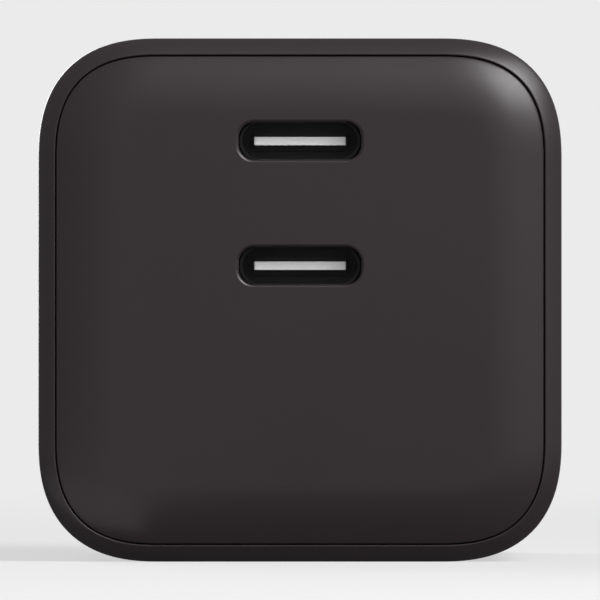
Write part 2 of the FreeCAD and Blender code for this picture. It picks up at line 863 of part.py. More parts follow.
def inductor(x):
    """Moulded choke block on the front of the port board."""
    body = box(x - inductor_side / 2, x + inductor_side / 2, shell_back_y - inductor_height, shell_back_y,
               inductor_z - inductor_side / 2, inductor_z + inductor_side / 2)
    along_y = [e for e in body.Edges if e.BoundBox.YLength > inductor_height / 2]
    return body.makeChamfer(inductor_corner, along_y)


def protocol_controller():
    return box(-protocol_side / 2, protocol_side / 2, shell_back_y - protocol_height, shell_back_y,
               inductor_z - protocol_side / 2, inductor_z + protocol_side / 2)


def pieces():
    """Every piece of the charger by name."""
    found = {
        "housing": housing(),
        "front_cover": front_cover(),
        "blade_carrier": blade_carrier(),
        "plug_frame": plug_frame(),
        "main_board": main_board(),
        "port_board": port_board(),
        "heat_spreader": heat_spreader(),
        "insulation_sheet": insulation_sheet(),
        "lower_heat_plate": lower_heat_plate(),
        "thermal_pad": thermal_pad(),
        "fuse": fuse(),
        "surge_varistor": surge_varistor(),
        "inrush_thermistor": inrush_thermistor(),
        "x_capacitor": x_capacitor(),
        "choke_core": choke_core(),
        "choke_windings": choke_windings(),
        "choke_base": choke_base(),
        "bridge_rectifier": bridge_rectifier(),
        "transformer_core_lower": transformer_core_lower(),
        "transformer_core_upper": transformer_core_upper(),
        "transformer_bobbin": transformer_bobbin(),
        "transformer_winding": transformer_winding(),
        "gan_switch": gan_switch(),
        "primary_controller": primary_controller(),
        "optocoupler": optocoupler(),
        "y_capacitor": y_capacitor(),
        "rectifier_mosfet": rectifier_mosfet(),
        "protocol_controller": protocol_controller(),
    }
    for name, z in port_heights.items():
        found[f"{name}_port_shell"] = port_shell(z)
        found[f"{name}_port_insulator"] = port_insulator(z)
        found[f"{name}_port_contacts"] = port_contacts(z)
    for name, y in bulk_places.items():
        found[f"bulk_capacitor_{name}"] = bulk_capacitor(y)
    for place, (name, x) in enumerate(blade_sides.items()):
        found[f"blade_{name}"] = blade(x)
        found[f"contact_spring_{name}"] = contact_spring(x)
        found[f"inductor_{name}"] = inductor(math.copysign(inductor_offset, x))
        found[f"output_capacitor_{name}"] = output_capacitor(place)
    return found


os.makedirs("parts", exist_ok=True)
for name, shape in pieces().items():
    shape.exportStep(f"parts/{name}.step")
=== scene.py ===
"""Looks of a dual-port wall charger with a folding plug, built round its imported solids.

Units are metres, in the frame of the solids: the wall face is at y = 0, the ports look along -Y, +Z is up.
"""

import bmesh
import bpy
from math import acos, cos, pi, radians, sin
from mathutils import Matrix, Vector


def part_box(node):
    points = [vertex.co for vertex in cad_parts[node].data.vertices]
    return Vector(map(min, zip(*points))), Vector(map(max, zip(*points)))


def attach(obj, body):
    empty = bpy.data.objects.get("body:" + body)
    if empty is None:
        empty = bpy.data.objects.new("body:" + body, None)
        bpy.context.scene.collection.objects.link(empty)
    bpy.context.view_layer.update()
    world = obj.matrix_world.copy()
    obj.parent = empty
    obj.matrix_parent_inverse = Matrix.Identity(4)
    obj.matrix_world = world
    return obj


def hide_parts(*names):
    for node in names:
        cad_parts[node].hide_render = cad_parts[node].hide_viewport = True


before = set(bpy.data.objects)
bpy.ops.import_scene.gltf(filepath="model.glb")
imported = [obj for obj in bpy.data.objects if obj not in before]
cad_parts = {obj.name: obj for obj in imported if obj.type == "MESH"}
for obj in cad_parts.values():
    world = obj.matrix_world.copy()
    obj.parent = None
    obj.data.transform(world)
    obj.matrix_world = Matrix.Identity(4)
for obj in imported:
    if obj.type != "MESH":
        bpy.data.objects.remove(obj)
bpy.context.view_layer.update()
bpy.context.scene.view_settings.view_transform = "Standard"
bpy.ops.object.select_all(action="DESELECT")


# Housing: one deep box moulded in dark grey polycarbonate, open at the front for the panel.
# Its square section has soft corners, its front edge is a narrow crowned rim, and its back has the window
# and slots that the plug folds into. Rails inside carry the board, and melted posts hold the plug frame.
mm = 0.001
towards_front = (pi / 2, 0, 0)
towards_back = (-pi / 2, 0, 0)
merge_distance = 0.002 * mm
smooth_angle = radians(26)

# The cosine from which a face or an edge counts as square to an axis.
square_on = 0.99

housing_low, housing_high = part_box("housing")
front_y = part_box("front_cover")[0].y
back_y = housing_high.y
body_side = housing_high.x - housing_low.x
corner_reach = 8.904 * mm
corner_fullness = 0.574
corner_segments = 32
wall = 2.2 * mm
back_wall = 2.2 * mm
back_edge_radius = 1.6 * mm
back_edge_steps = 8
panel_thickness = 2.4 * mm

groove_width = 0.07 * mm
rim_width = 1.255 * mm
rim_steps = 6
rim_edge_radius = 0.3 * mm
rim_edge_steps = 4
crest_radius = 0.11 * mm
crest_steps = 9
rim_heading = radians(48)
pillow_heading = radians(64)
pillow_width = 4.2 * mm

panel_inset = rim_width + groove_width
roll_radius = pillow_width / cos(pillow_heading)
rim_start = rim_edge_radius * (1 - cos(rim_heading))
rim_radius = (panel_inset - rim_start) / (cos(rim_heading) - cos(pillow_heading))
roll_rise = roll_radius * (1 - sin(pillow_heading))
rim_rise = rim_radius * (sin(pillow_heading) - sin(rim_heading)) + rim_edge_radius * sin(rim_heading)
side_front_y = front_y + roll_rise + rim_rise
ledge_y = front_y + panel_thickness
crest_heading = acos((rim_start + rim_radius * cos(rim_heading) + crest_radius - rim_width)
                     / (rim_radius - crest_radius))


def flat_face(name, width, height, place, turn):
    """Start a piece from one rectangular face, left open in edit mode with the face selected."""
    bpy.ops.mesh.primitive_plane_add(size=1, location=place, rotation=turn)
    piece = bpy.context.object
    piece.name = name
    piece.data.name = name
    piece.scale = (width, height, 1)
    bpy.ops.object.transform_apply(location=True, rotation=True, scale=True)
    bpy.ops.object.mode_set(mode="EDIT")
    bpy.ops.mesh.select_mode(type="FACE")
    return piece


def body_outline(name, y):
    """Start a piece from the body's outline at depth y: a square face with soft superelliptic corners."""
    piece = flat_face(name, body_side, body_side, (0, y, 0), towards_front)
    bpy.ops.mesh.bevel(offset=corner_reach, affect="VERTICES", segments=corner_segments,
                       profile=corner_fullness)
    return piece


def pick(kind, test):
    """Select just the faces, edges or verts of the piece in edit mode that pass a test."""
    modes = {"faces": "FACE", "edges": "EDGE", "verts": "VERT"}
    bpy.ops.mesh.select_mode(type=modes[kind])
    bpy.ops.mesh.select_all(action="DESELECT")
    mesh = bmesh.from_edit_mesh(bpy.context.edit_object.data)
    for element in getattr(mesh, kind):
        if test(element):
            element.select_set(True)
    bmesh.update_edit_mesh(bpy.context.edit_object.data)


def push(x, y, z):
    """Extrude the selected faces by a distance."""
    bpy.ops.mesh.extrude_region_move(TRANSFORM_OT_translate={"value": (x, y, z)})


def arc_steps(radius, start, end, count):
    """Steps (inwards, outwards) round an arc whose heading turns from 0, straight out, to pi/2, straight in.

    A negative radius turns the other way.
    """
    headings = [start + (end - start) * step / count for step in range(count + 1)]
    return [(radius * (cos(a) - cos(b)), radius * (sin(b) - sin(a))) for a, b in zip(headings, headings[1:])]


def carry(steps):
    """Inset the selected face step by step, which leaves a ring of faces behind each step."""
    for inwards, outwards in steps:
        bpy.ops.mesh.inset(thickness=inwards, depth=outwards)


def settle():
    """Merge doubled points, turn every face outwards and leave edit mode."""
    bpy.ops.mesh.select_all(action="SELECT")
    bpy.ops.mesh.remove_doubles(threshold=merge_distance)
    bpy.ops.mesh.normals_make_consistent(inside=False)
    bpy.ops.object.mode_set(mode="OBJECT")


def take_up(piece):
    """Make a piece the only one selected."""
    bpy.ops.object.select_all(action="DESELECT")
    piece.select_set(True)
    bpy.context.view_layer.objects.active = piece


def combine(piece, tool, operation):
    """Cut a tool from a piece, or join it on, and delete the tool."""
    take_up(piece)
    change = piece.modifiers.new(operation.lower(), "BOOLEAN")
    change.operation = operation
    change.solver = "EXACT"
    change.object = tool
    bpy.ops.object.modifier_apply(modifier=change.name)
    bpy.data.objects.remove(tool)


def smooth(piece):
    """Clear a finished piece of slivers and shade it smooth over its rounded edges, large faces kept flat."""
    take_up(piece)
    bpy.ops.object.mode_set(mode="EDIT")
    bpy.ops.mesh.select_all(action="SELECT")
    bpy.ops.mesh.dissolve_degenerate(threshold=merge_distance)
    bpy.ops.object.mode_set(mode="OBJECT")
    bpy.ops.object.shade_smooth_by_angle(angle=smooth_angle)
    weighting = piece.modifiers.new("flat_faces", "WEIGHTED_NORMAL")
    weighting.keep_sharp = True
    bpy.ops.object.modifier_apply(modifier=weighting.name)


housing = body_outline("housing_shell", side_front_y)
push(0, back_y - back_edge_radius - side_front_y, 0)
bpy.ops.mesh.select_all(action="SELECT")
bpy.ops.mesh.normals_make_consistent(inside=False)
pick("faces", lambda face: face.normal.y > square_on)
carry(arc_steps(back_edge_radius, 0, pi / 2, back_edge_steps))
pick("faces", lambda face: face.normal.y < -square_on)
carry(arc_steps(rim_edge_radius, 0, rim_heading, rim_edge_steps))
carry(arc_steps(rim_radius, rim_heading, crest_heading, rim_steps))
carry(arc_steps(crest_radius, crest_heading, pi, crest_steps))
crest_end_y = (side_front_y - rim_edge_radius * sin(rim_heading)
               - rim_radius * (sin(crest_heading) - sin(rim_heading)) + crest_radius * sin(crest_heading))
push(0, ledge_y - crest_end_y, 0)
carry([(wall - rim_width, 0)])
push(0, back_y - back_wall - ledge_y, 0)
settle()

# Window and slots: the housing's back is cored out where the plug folds in. Their mouths are rounded, so that
# a fingernail slides over them, and the panel's openings get the same mouths.
mouth_radius = 0.25 * mm
mouth_heading = radians(80)
mouth_steps = 6
mouth_corner_segments = 16
mouth_lead = 0.005 * mm
cutter_margin = 0.4 * mm
carrier_relief = 0.15 * mm
blade_clearance = 0.2 * mm
window_corner = 0.3 * mm
carrier_low, carrier_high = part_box("blade_carrier")
blade_boxes = {side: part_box(f"blade_{side}") for side in ("left", "right")}
hinge_y = (carrier_low.y + carrier_high.y) / 2
hinge_z = (carrier_low.z + carrier_high.z) / 2
trunnion_length = 1.4 * mm
barrel_half = carrier_high.x - trunnion_length


def mouth_cutter(name, width, height, corner, place, turn, depth):
    """Cutter for an opening with round corners and a rounded mouth; place is the middle of its mouth."""
    growth = 2 * mouth_radius * (1 - cos(mouth_heading))
    outwards = Vector((0, 1, 0)) if turn == towards_front else Vector((0, -1, 0))
    start = Vector(place) - outwards * cutter_margin
    cutter = flat_face(name, width + growth, height + growth, start, turn)
    bpy.ops.mesh.bevel(offset=corner + growth / 2, affect="VERTICES", segments=mouth_corner_segments)
    bpy.ops.mesh.remove_doubles(threshold=merge_distance)
    push(*(outwards * (cutter_margin + mouth_lead)))
    bpy.ops.mesh.flip_normals()
    carry(arc_steps(-mouth_radius, mouth_heading, 0, mouth_steps))
    push(*(outwards * (depth - mouth_radius * sin(mouth_heading) - mouth_lead)))
    settle()
    return cutter


def slot_cutter(side):
    """Cutter for the slot that one blade folds into, from its tip up into the window."""
    low, high = blade_boxes[side]
    width = high.x - low.x + 2 * blade_clearance
    bottom = low.z - blade_clearance
    place = ((low.x + high.x) / 2, back_y, (bottom + hinge_z) / 2)
    return mouth_cutter("slot", width, hinge_z - bottom, window_corner, place, towards_back,
                        back_wall + cutter_margin)


window_width = 2 * (barrel_half + carrier_relief)
window_height = carrier_high.z - carrier_low.z + 2 * carrier_relief
window = mouth_cutter("window", window_width, window_height, window_corner, (0, back_y, hinge_z),
                      towards_back, back_wall + cutter_margin)
combine(housing, window, "DIFFERENCE")
for side in blade_boxes:
    combine(housing, slot_cutter(side), "DIFFERENCE")

# Finger scoop: a shallow dish moulded across both slots, where a fingertip reaches the blades' tips.
# It is a ball's form, drawn out from one blade to the other.
scoop_radius = 8.0 * mm
scoop_segments = 96
scoop_rings = 48
scoop_depth = 1.1 * mm
scoop_above_tip = 1.9 * mm
blade_x = (blade_boxes["right"][0].x + blade_boxes["right"][1].x) / 2
blade_tip_z = blade_boxes["right"][0].z
bpy.ops.mesh.primitive_uv_sphere_add(segments=scoop_segments, ring_count=scoop_rings, radius=scoop_radius,
                                     rotation=(0, pi / 2, 0))
scoop = bpy.context.object
bpy.ops.object.transform_apply(location=False, rotation=True, scale=False)
bpy.ops.object.mode_set(mode="EDIT")
for side in (-1, 1):
    pick("verts", lambda point: point.co.x * side > merge_distance)
    bpy.ops.transform.translate(value=(side * blade_x, 0, 0))
bpy.ops.mesh.select_all(action="SELECT")
bpy.ops.transform.translate(value=(0, back_y + scoop_radius - scoop_depth, blade_tip_z + scoop_above_tip))
settle()
combine(housing, scoop, "DIFFERENCE")

# Rails and posts: moulded on the inside of the housing. The rails carry the main board, and the posts go
# through the plug frame and are melted over it into round heads.
rib_width = 1.2 * mm
rib_offset = 12.5 * mm
rib_front_gap = 0.3 * mm
post_radius = 0.75 * mm
post_segments = 32
post_inset = 1.7 * mm
post_head_radius = 1.3 * mm
post_head_height = 0.6 * mm
post_head_steps = 4
sunk = 0.3 * mm
board_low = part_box("main_board")[0]
port_board_back_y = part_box("port_board")[1].y
plug_frame_low, plug_frame_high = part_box("plug_frame")
floor_z = housing_low.z + wall
inner_back_y = back_y - back_wall

for side in (-1, 1):
    rib_front_y = port_board_back_y + rib_front_gap
    rib_length = inner_back_y + sunk - rib_front_y
    rib = flat_face("rib", rib_width, rib_length,
                    (side * rib_offset, rib_front_y + rib_length / 2, floor_z - sunk), (0, 0, 0))
    push(0, 0, board_low.z - floor_z + sunk)
    settle()
    combine(housing, rib, "UNION")
    for z in (plug_frame_high.z - post_inset, plug_frame_low.z + post_inset):
        x = side * (plug_frame_high.x - post_inset)
        length = inner_back_y + sunk - plug_frame_low.y
        bpy.ops.mesh.primitive_cylinder_add(vertices=post_segments, radius=post_radius, depth=length,
                                            location=(x, plug_frame_low.y + length / 2, z),
                                            rotation=towards_front)
        post = bpy.context.object
        bpy.ops.object.transform_apply(location=True, rotation=True, scale=True)
        bpy.ops.object.mode_set(mode="EDIT")
        pick("faces", lambda face: face.normal.y < -square_on)
        push(0, 0, 0)
        widen = post_head_radius / post_radius
        bpy.ops.transform.resize(value=(widen, 1, widen), center_override=(x, plug_frame_low.y, z))
        push(0, -post_head_height / 2, 0)
        carry(arc_steps(post_head_height / 2, 0, pi / 2, post_head_steps))
        settle()
        combine(housing, post, "UNION")
smooth(housing)


def linear(code):
    """Linear RGBA of an sRGB hex colour."""
    channels = [int(code[start:start + 2], 16) / 255 for start in (1, 3, 5)]
    return [c / 12.92 if c <= 0.04045 else ((c + 0.055) / 1.055) ** 2.4 for c in channels] + [1.0]


def new_material(name):
    """An empty node material."""
    material = bpy.data.materials.new(name)
    material.use_nodes = True
    material.node_tree.nodes.clear()
    return material


def add_node(owner, kind, inputs, **settings):
    """Add a node with its settings; each input takes a value or another node's output."""
    tree = owner.node_tree
    node = tree.nodes.new(kind)
    for name, value in settings.items():
        setattr(node, name, value)
    for socket, value in inputs.items():
        if isinstance(value, bpy.types.NodeSocket):
            tree.links.new(value, node.inputs[socket])
        else:
            node.inputs[socket].default_value = value
    return node


def grained_finish(name, dark, light, roughness, gloss, grain, relief):
    """A finish that is not metal, such as moulded plastic: a fine grain over a faintly clouded colour.

    gloss is the strength of its reflections, grain the size of its pits, and relief how deep they read.
    """
    material = new_material(name)
    place = add_node(material, "ShaderNodeTexCoord", {})
    pits = add_node(material, "ShaderNodeTexNoise",
                    {"Vector": place.outputs["Object"], "Scale": 1 / grain, "Detail": 3.0, "Roughness": 0.6})
    flow = add_node(material, "ShaderNodeTexNoise",
                    {"Vector": place.outputs["Object"], "Scale": 1 / flow_size, "Detail": 2.0})
    colour = add_node(material, "ShaderNodeMix", {0: flow.outputs["Fac"], 6: linear(dark), 7: linear(light)},
                      data_type="RGBA")
    sheen = add_node(material, "ShaderNodeMapRange",
                     {"Value": pits.outputs["Fac"], "From Min": noise_low, "From Max": noise_high,
                      "To Min": roughness - grain_spread, "To Max": roughness + grain_spread})
    bump = add_node(material, "ShaderNodeBump",
                    {"Height": pits.outputs["Fac"], "Strength": relief, "Distance": pit_depth})
    shader = add_node(material, "ShaderNodeBsdfPrincipled",
                      {"Base Color": colour.outputs[2], "Roughness": sheen.outputs["Result"], "IOR": 1.5,
                       "Specular IOR Level": gloss, "Normal": bump.outputs["Normal"]})
    add_node(material, "ShaderNodeOutputMaterial", {"Surface": shader.outputs["BSDF"]})
    return material


# Moulded polycarbonate: warm near-black grey. The panel and the rim come from a fine tool and have a satin
# bloom. The sides and back come from a coarser, spark-eroded one, so they look matt and don't show scuffs.
# The real pits are 0.03 and 0.06 mm across, drawn at 0.15 and 0.3 mm so that they show.
flow_size = 7.0 * mm
pit_depth = 0.01 * mm
grain_spread = 0.04

# Most of a noise pattern lies between these two values.
noise_low = 0.3
noise_high = 0.7

satin_grain = 0.15 * mm
matt_grain = 0.3 * mm
satin_case = grained_finish("satin_polycarbonate", "#1B1517", "#1D1719", roughness=0.32, gloss=0.26,
                            grain=satin_grain, relief=0.08)
matt_case = grained_finish("spark_eroded_polycarbonate", "#1B1517", "#1D1719", roughness=0.6, gloss=0.18,
                           grain=matt_grain, relief=1.0)


def dress(piece, material, body, node):
    """Give a new piece its finish, and let it stand for a CAD node on a body."""
    piece.data.materials.clear()
    piece.data.materials.append(material)
    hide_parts(node)
    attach(piece, body)


dress(housing, matt_case, "body", "housing")
housing.data.materials.append(satin_case)
for face in housing.data.polygons:
    face.material_index = int(face.center.y < side_front_y)


# Plug frame: a block of glass-filled nylon on the housing's melted posts, with bearings for the carrier and a
# closed well behind each blade. A leaf of phosphor bronze stands behind each bearing, soldered to the board.

# Glass-filled nylon: a dark neutral grey with the uneven bloom that glass fibres leave under the skin.
nylon_grain = 0.35 * mm
nylon = grained_finish("glass_filled_nylon", "#222223", "#2C2C2D", roughness=0.5, gloss=0.4,
                       grain=nylon_grain, relief=0.3)


def paint(material, *nodes):
    """Give CAD nodes a finish."""
    for name in nodes:
        for material_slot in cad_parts[name].material_slots:
            material_slot.material = material


def worked_metal(name, dull, bright, roughness, line, along):
    """Bare metal with the fine lines of rolling or drawing; line is their width and along their direction."""
    material = new_material(name)
    place = add_node(material, "ShaderNodeTexCoord", {})
    stretch = [1 / line] * 3
    stretch["xyz".index(along)] = 1 / line_length
    drawn = add_node(material, "ShaderNodeMapping", {"Vector": place.outputs["Object"], "Scale": stretch})
    lines = add_node(material, "ShaderNodeTexNoise",
                     {"Vector": drawn.outputs["Vector"], "Scale": 1.0, "Detail": 3.0, "Roughness": 0.55})
    colour = add_node(material, "ShaderNodeMix",
                      {0: lines.outputs["Fac"], 6: linear(dull), 7: linear(bright)}, data_type="RGBA")
    sheen = add_node(material, "ShaderNodeMapRange",
                     {"Value": lines.outputs["Fac"], "From Min": noise_low, "From Max": noise_high,
                      "To Min": roughness - line_spread, "To Max": roughness + line_spread})
    bump = add_node(material, "ShaderNodeBump",
                    {"Height": lines.outputs["Fac"], "Strength": 0.08, "Distance": line_depth})
    shader = add_node(material, "ShaderNodeBsdfPrincipled",
                      {"Base Color": colour.outputs[2], "Metallic": 1.0, "Roughness": sheen.outputs["Result"],
                       "Normal": bump.outputs["Normal"]})
    add_node(material, "ShaderNodeOutputMaterial", {"Surface": shader.outputs["BSDF"]})
    return material


# Phosphor bronze strip: pinkish brown metal with the lines that the rolls leave along it.
line_length = 6.0 * mm
line_depth = 0.006 * mm
line_spread = 0.06
strip_line = 0.08 * mm
bronze = worked_metal("rolled_phosphor_bronze", "#B58258", "#D8A878", roughness=0.36, line=strip_line,
                      along="z")

paint(nylon, "plug_frame")
paint(bronze, "contact_spring_left", "contact_spring_right")


# Plug blades: stamped from brass strip, coined to a lead-in at the tip and nickel plated. Each has a neck
# that the carrier is moulded round, and a narrow tail that meets its spring when the plug is out.
towards_right = (0, pi / 2, 0)
blade_neck_width = 3.6 * mm
blade_shoulder = 1.9 * mm
tail_width = 1.9 * mm
tail_segments = 8
blade_tip_radius = 1.6 * mm
blade_tip_segments = 10
blade_tip_bevel = 0.4 * mm
tip_bevel_segments = 3
blade_edge = 0.08 * mm
blade_edge_segments = 2
edge_angle = radians(40)
flat_angle = radians(1)


def runs_along(edge, axis):
    """Whether an edge runs along an axis."""
    start, end = edge.verts
    return abs((end.co - start.co).normalized()["xyz".index(axis)]) > square_on


def blade_blank(name, side, width, bottom, top):
    """Flat blank between two heights: a narrow strip in three lengths, widened to neck and blade."""
    low, high = blade_boxes[side]
    blank = flat_face(name, high.x - low.x, tail_width, ((low.x + high.x) / 2, hinge_y, bottom), (0, 0, 0))
    heights = (bottom, hinge_z - blade_shoulder, hinge_z + blade_shoulder, top)
    for start, end in zip(heights, heights[1:]):
        push(0, 0, end - start)
    bpy.ops.mesh.select_all(action="SELECT")
    bpy.ops.mesh.normals_make_consistent(inside=False)
    growths = {heights[2]: blade_neck_width - tail_width, heights[1]: width - blade_neck_width}
    for upper, growth in growths.items():
        for facing in (-1, 1):
            pick("faces", lambda face: face.normal.y * facing > square_on
                 and face.calc_center_median().z < upper)
            push(0, facing * growth / 2, 0)
    bpy.ops.mesh.select_all(action="SELECT")
    bpy.ops.mesh.dissolve_limited(angle_limit=flat_angle)
    return blank


def soften(piece, width, segments):
    """Round off a piece's sharp edges."""
    take_up(piece)
    edges = piece.modifiers.new("soft_edges", "BEVEL")
    edges.limit_method = "ANGLE"
    edges.angle_limit = edge_angle
    edges.width = width
    edges.segments = segments
    bpy.ops.object.modifier_apply(modifier=edges.name)


def stamped_blade(side):
    """One blade hanging from the hinge, as it lies folded."""
    low, high = blade_boxes[side]
    blade = blade_blank(f"{side}_blade", side, high.y - low.y, low.z, high.z)
    pick("edges", lambda edge: runs_along(edge, "x") and edge.verts[0].co.z > high.z - merge_distance)
    bpy.ops.mesh.bevel(offset=tail_width / 2, affect="EDGES", segments=tail_segments)
    pick("edges", lambda edge: runs_along(edge, "x") and edge.verts[0].co.z < low.z + merge_distance)
    bpy.ops.mesh.bevel(offset=blade_tip_radius, affect="EDGES", segments=blade_tip_segments)
    tip_top_z = low.z + blade_tip_radius
    bpy.ops.mesh.select_all(action="SELECT")
    bpy.ops.mesh.bisect(plane_co=(0, 0, tip_top_z), plane_no=(0, 0, 1))
    pick("edges", lambda edge: not runs_along(edge, "x")
         and min(point.co.z for point in edge.verts) < tip_top_z - merge_distance
         and max(point.co.z for point in edge.verts) < tip_top_z + merge_distance)
    bpy.ops.mesh.bevel(offset=blade_tip_bevel, affect="EDGES", segments=tip_bevel_segments)
    settle()
    soften(blade, blade_edge, blade_edge_segments)
    smooth(blade)
    return blade


# Nickel plate over brass: a warm silver with faint lines along the blade from the strip under the plating.
blade_line = 0.06 * mm
nickel = worked_metal("nickel_plated_brass", "#D2CFC9", "#DEDBD5", roughness=0.26, line=blade_line, along="z")

blades = {side: stamped_blade(side) for side in blade_boxes}
for side, blade in blades.items():
    dress(blade, nickel, "plug", f"blade_{side}")


# Blade carrier: a barrel moulded round both necks, squared off on the side that fills the window when the
# plug is folded. It turns on a trunnion at each end, in the bearings of the plug frame.
barrel_radius = (carrier_high.z - carrier_low.z) / 2
barrel_segments = 24
barrel_edge = 0.15 * mm
barrel_edge_segments = 3
trunnion_radius = 1.1 * mm
trunnion_segments = 48
trunnion_edge = 0.2 * mm
trunnion_edge_steps = 4
carrier = flat_face("plug_barrel", 2 * barrel_radius, 2 * barrel_radius, (-barrel_half, hinge_y, hinge_z),
                    towards_right)
pick("verts", lambda point: point.co.y < hinge_y or point.co.z > hinge_z)
bpy.ops.mesh.bevel(offset=barrel_radius, affect="VERTICES", segments=barrel_segments)
bpy.ops.mesh.select_all(action="SELECT")
bpy.ops.mesh.remove_doubles(threshold=merge_distance)
push(2 * barrel_half, 0, 0)
settle()
soften(carrier, barrel_edge, barrel_edge_segments)
bpy.ops.mesh.primitive_cylinder_add(vertices=trunnion_segments, radius=trunnion_radius,
                                    depth=2 * (carrier_high.x - trunnion_edge),
                                    location=(0, hinge_y, hinge_z), rotation=towards_right)
trunnions = bpy.context.object
bpy.ops.object.transform_apply(location=True, rotation=True, scale=True)
bpy.ops.object.mode_set(mode="EDIT")
pick("faces", lambda face: abs(face.normal.x) > square_on)
carry(arc_steps(trunnion_edge, 0, pi / 2, trunnion_edge_steps))
settle()
combine(carrier, trunnions, "UNION")
for side, (low, high) in blade_boxes.items():
    seat = blade_blank("seat", side, high.y - low.y + 2 * cutter_margin, carrier_low.z - cutter_margin,
                       carrier_high.z + cutter_margin)
    settle()
    combine(carrier, seat, "DIFFERENCE")
smooth(carrier)

# Carrier resin: the housing's warm grey a shade lighter, with a close grain that catches a little more light.
carrier_grain = 0.2 * mm
carrier_plastic = grained_finish("moulded_carrier_resin", "#262021", "#2A2425", roughness=0.45, gloss=0.25,
                                 grain=carrier_grain, relief=0.1)
dress(carrier, carrier_plastic, "plug", "blade_carrier")


# Boards: glass-epoxy laminate under green solder mask. The main board slides in along the rails, and the port
# board stands across its front edge on two soldered tongues.
trace_width = 0.6 * mm
trace_length = 4.8 * mm
trace_pitch = 1.8 * mm
weave_pitch = 0.5 * mm


def board_mask(name, mask, over_copper):
    """Solder mask, paler where copper tracks run under it, over the faint weave of the glass cloth."""
    material = new_material(name)
    place = add_node(material, "ShaderNodeTexCoord", {})
    tracks = add_node(material, "ShaderNodeTexBrick",
                      {"Vector": place.outputs["Object"], "Scale": 1.0, "Color1": linear(mask),
                       "Color2": linear(mask), "Mortar": linear(over_copper), "Mortar Size": trace_width / 2,
                       "Brick Width": trace_length, "Row Height": trace_pitch})
    cloth = add_node(material, "ShaderNodeTexChecker",
                     {"Vector": place.outputs["Object"], "Scale": 1 / weave_pitch})
    bump = add_node(material, "ShaderNodeBump",
                    {"Height": cloth.outputs["Fac"], "Strength": 0.1, "Distance": pit_depth})
    shader = add_node(material, "ShaderNodeBsdfPrincipled",
                      {"Base Color": tracks.outputs["Color"], "Roughness": 0.3, "IOR": 1.55,
                       "Normal": bump.outputs["Normal"]})
    add_node(material, "ShaderNodeOutputMaterial", {"Surface": shader.outputs["BSDF"]})
    return material


# Solder mask: deep glossy green, with paler stripes over the copper.
laminate = board_mask("solder_mask_on_laminate", "#22593C", "#357A50")
paint(laminate, "main_board", "port_board")


# Heat path: rolled aluminium folded round three sides of the cavity, with a polyester film inside it that
# keeps it clear of the mains side. A plate on the floor takes heat from the switch through a silicone pad.

# Rolled aluminium is a cool silver, streaked along the sheet. Polyester film is amber and glossy with a
# slight ripple, and the silicone pad is a chalky blue grey.
rolling_line = 0.15 * mm
film_ripple = 4.0 * mm
pad_grain = 0.4 * mm
aluminium = worked_metal("rolled_aluminium", "#B9BABC", "#DADBDC", roughness=0.38, line=rolling_line,
                         along="y")
film = grained_finish("polyester_film", "#C69A3E", "#D2A94F", roughness=0.25, gloss=0.5, grain=film_ripple,
                      relief=0.1)
silicone = grained_finish("silicone_gap_pad", "#A6B0B5", "#B6BFC3", roughness=0.75, gloss=0.3,
                          grain=pad_grain, relief=0.5)
paint(aluminium, "heat_spreader", "lower_heat_plate")
paint(film, "insulation_sheet")
paint(silicone, "thermal_pad")


# Mains input: fuse and X capacitor in moulded boxes, a dipped varistor and thermistor, and a ring choke wound
# with two coils that stands in a nylon cradle. All of them are soldered to the rear half of the main board.

# The box resin is a plain straw yellow with a light texture, the dipped lacquer blue, wet-looking and a
# little uneven, and the ground ferrite dark grey with a stony glint.
box_grain = 0.3 * mm
lacquer_ripple = 1.6 * mm
ferrite_grain = 0.12 * mm
box_resin = grained_finish("moulded_box_resin", "#C7B469", "#D0BE76", roughness=0.45, gloss=0.45,
                           grain=box_grain, relief=0.2)
lacquer = grained_finish("dipped_lacquer", "#3E6397", "#4C72A6", roughness=0.22, gloss=0.5,
                         grain=lacquer_ripple, relief=0.35)
ferrite = grained_finish("ground_ferrite", "#38383A", "#454547", roughness=0.42, gloss=0.7,
                         grain=ferrite_grain, relief=0.45)


def wound_wire(name, along, dark, light):
    """Enamelled copper wire laid turn beside turn along one axis.

    A wave texture repeats every pi / (10 * scale), so this scale gives each turn one wave.
    Its colour is painted shade in the hollow between turns and a painted highlight on each crest.
    """
    material = new_material(name)
    place = add_node(material, "ShaderNodeTexCoord", {})
    turns = add_node(material, "ShaderNodeTexWave",
                     {"Vector": place.outputs["Object"], "Scale": pi / (10 * wire_width), "Distortion": 0.0},
                     wave_type="BANDS", bands_direction=along)
    # Painted shade in the hollows between turns and a painted highlight on their crests; the bump below gives
    # the real relief.
    colour = add_node(material, "ShaderNodeMix", {0: turns.outputs["Fac"], 6: linear(dark), 7: linear(light)},
                      data_type="RGBA")
    bump = add_node(material, "ShaderNodeBump",
                    {"Height": turns.outputs["Fac"], "Strength": 0.6, "Distance": wire_width / 2})
    shader = add_node(material, "ShaderNodeBsdfPrincipled",
                      {"Base Color": colour.outputs[2], "Metallic": 0.8, "Roughness": 0.3,
                       "Normal": bump.outputs["Normal"]})
    add_node(material, "ShaderNodeOutputMaterial", {"Surface": shader.outputs["BSDF"]})
    return material


# Enamelled wire: a painted highlight of bright copper on the crest of each turn, and painted shade of brown
# in the hollow between two.
wire_width = 0.45 * mm
copper = wound_wire("enamelled_copper_wire", "Z", "#7A3E22", "#C77B4E")
paint(box_resin, "fuse", "x_capacitor")
paint(lacquer, "surge_varistor", "inrush_thermistor", "y_capacitor")
paint(ferrite, "choke_core", "transformer_core_lower", "transformer_core_upper", "inductor_left",
      "inductor_right")
paint(copper, "choke_windings", "transformer_winding")
paint(nylon, "choke_base", "transformer_bobbin")


# Power stage and output: resin-moulded chips under the board, and sleeved aluminium cans for the bulk and
# output capacitors. The transformer between them shares its ferrite, wire and nylon with the choke.

